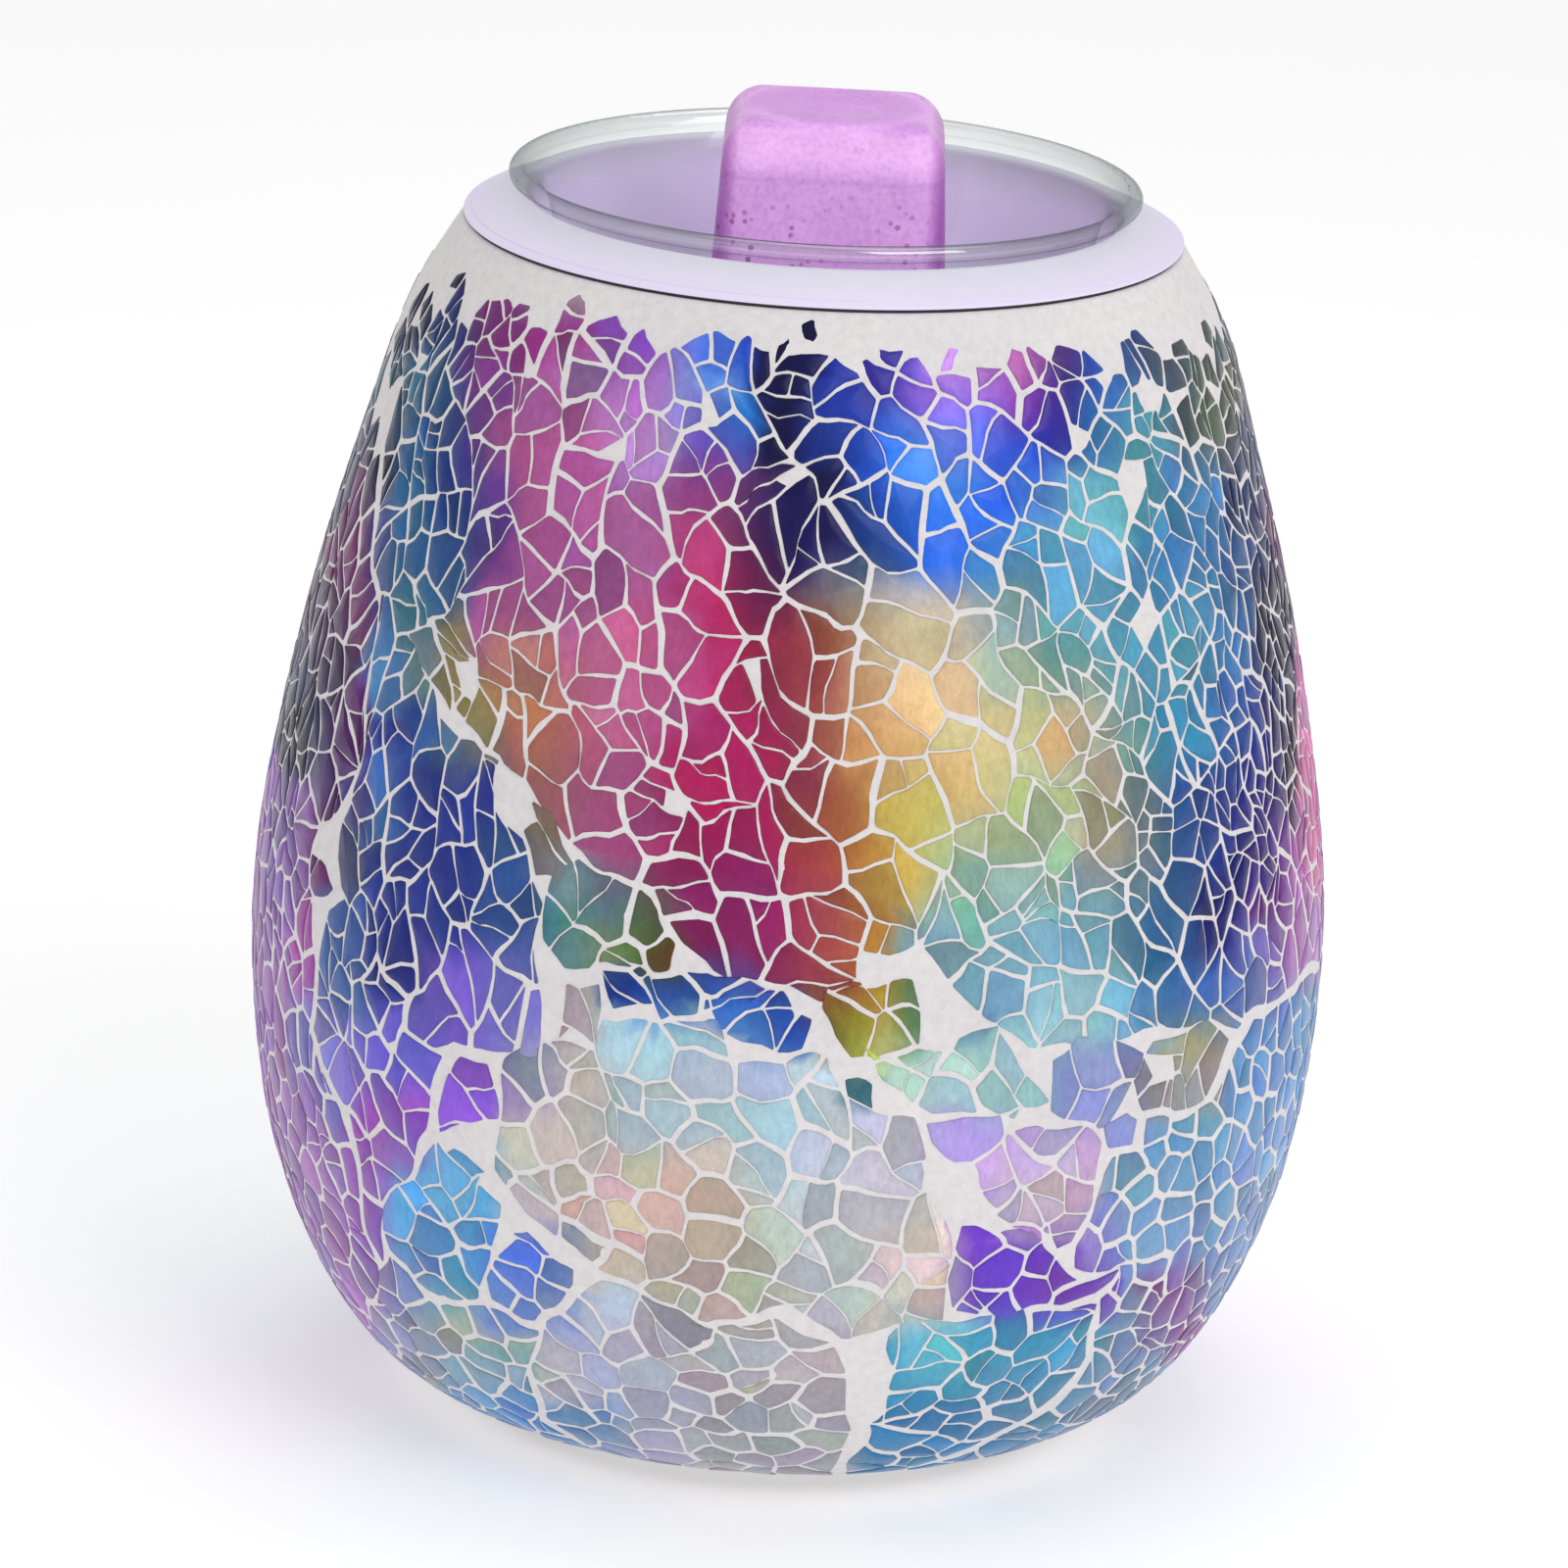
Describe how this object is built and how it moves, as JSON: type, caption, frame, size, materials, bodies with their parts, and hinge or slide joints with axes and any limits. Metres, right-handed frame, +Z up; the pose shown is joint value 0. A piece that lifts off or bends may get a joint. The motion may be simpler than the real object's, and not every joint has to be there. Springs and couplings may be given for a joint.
{
  "type": "wax warmer",
  "caption": "Table-top electric wax warmer: rounded glass pot covered in crackled mosaic glass, plastic top ring with heated well, lift-out clear glass dish holding a wax melt.",
  "frame": {"origin": "centre of the pot's axis on the surface it stands on", "axes": "+Z up along the pot's axis, +Y towards the back where the supply cord enters, +X to the right seen from the front"},
  "size_m": [0.1272, 0.1272, 0.156],
  "materials": {
    "vase_glass": "clear blown glass, white by its plaster",
    "grout": "matt off-white plaster",
    "mosaic_glass": "iridescent crackled glass in mixed colours, glossy",
    "collar_plastic": "satin lilac-white moulding",
    "black_rubber": "matt",
    "silicone": "translucent white silicone",
    "heater_aluminium": "turned",
    "ptc_ceramic": "matt ceramic",
    "mica": "mica laminate",
    "zinc_steel": "zinc plated",
    "fuse_can": "drawn can",
    "lead_insulation": "silicone insulation",
    "base_plastic": "fine grained white moulding",
    "circuit_board": "green solder mask",
    "transformer_tape": "yellow tape",
    "capacitor_can": "sleeved can",
    "terminal_plastic": "green polyamide",
    "led_board_white": "white solder mask on aluminium",
    "led_phosphor": "phosphor gel",
    "diffuser_plastic": "opal",
    "foot_rubber": "matt grey rubber",
    "clear_glass": "clear, fire polished",
    "violet_wax": "translucent scented wax with small bubbles"
  },
  "bodies": {
    "root": {"base_pan": "base_plastic", "base_washer": "black_rubber", "board_screws": "zinc_steel", "bond_ring": "silicone", "bottom_cover": "base_plastic", "bracket_screws": "zinc_steel", "cable_bush": "foot_rubber", "capacitor": "capacitor_can", "clamp_bracket": "zinc_steel", "clamp_nuts": "zinc_steel", "clamp_ring": "zinc_steel", "clamp_screws": "zinc_steel", "collar_gasket": "black_rubber", "cover_screws": "zinc_steel", "driver_board": "circuit_board", "fuse_clip": "zinc_steel", "glass_vase": "vase_glass", "grout_layer": "grout", "heater_leads": "lead_insulation", "heater_plate": "heater_aluminium", "led_board": "led_board_white", "led_emitters": "led_phosphor", "led_screws": "zinc_steel", "light_diffuser": "diffuser_plastic", "mica_sheet": "mica", "mosaic_tiles": "mosaic_glass", "ptc_element": "ptc_ceramic", "rubber_feet": "foot_rubber", "terminal_block": "terminal_plastic", "thermal_fuse": "fuse_can", "top_collar": "collar_plastic", "transformer": "transformer_tape"},
    "dish": {"wax_dish": "clear_glass"},
    "melt": {"wax_cube": "violet_wax"}
  },
  "joints": [
    {"name": "dish_lift", "type": "slide", "parent": "root", "child": "dish", "axis": [0, 0, 1], "range_m": [0, 0.03]},
    {"name": "cube_lift", "type": "slide", "parent": "dish", "child": "melt", "axis": [0, 0, 1], "range_m": [0, 0.03]}
  ]
}
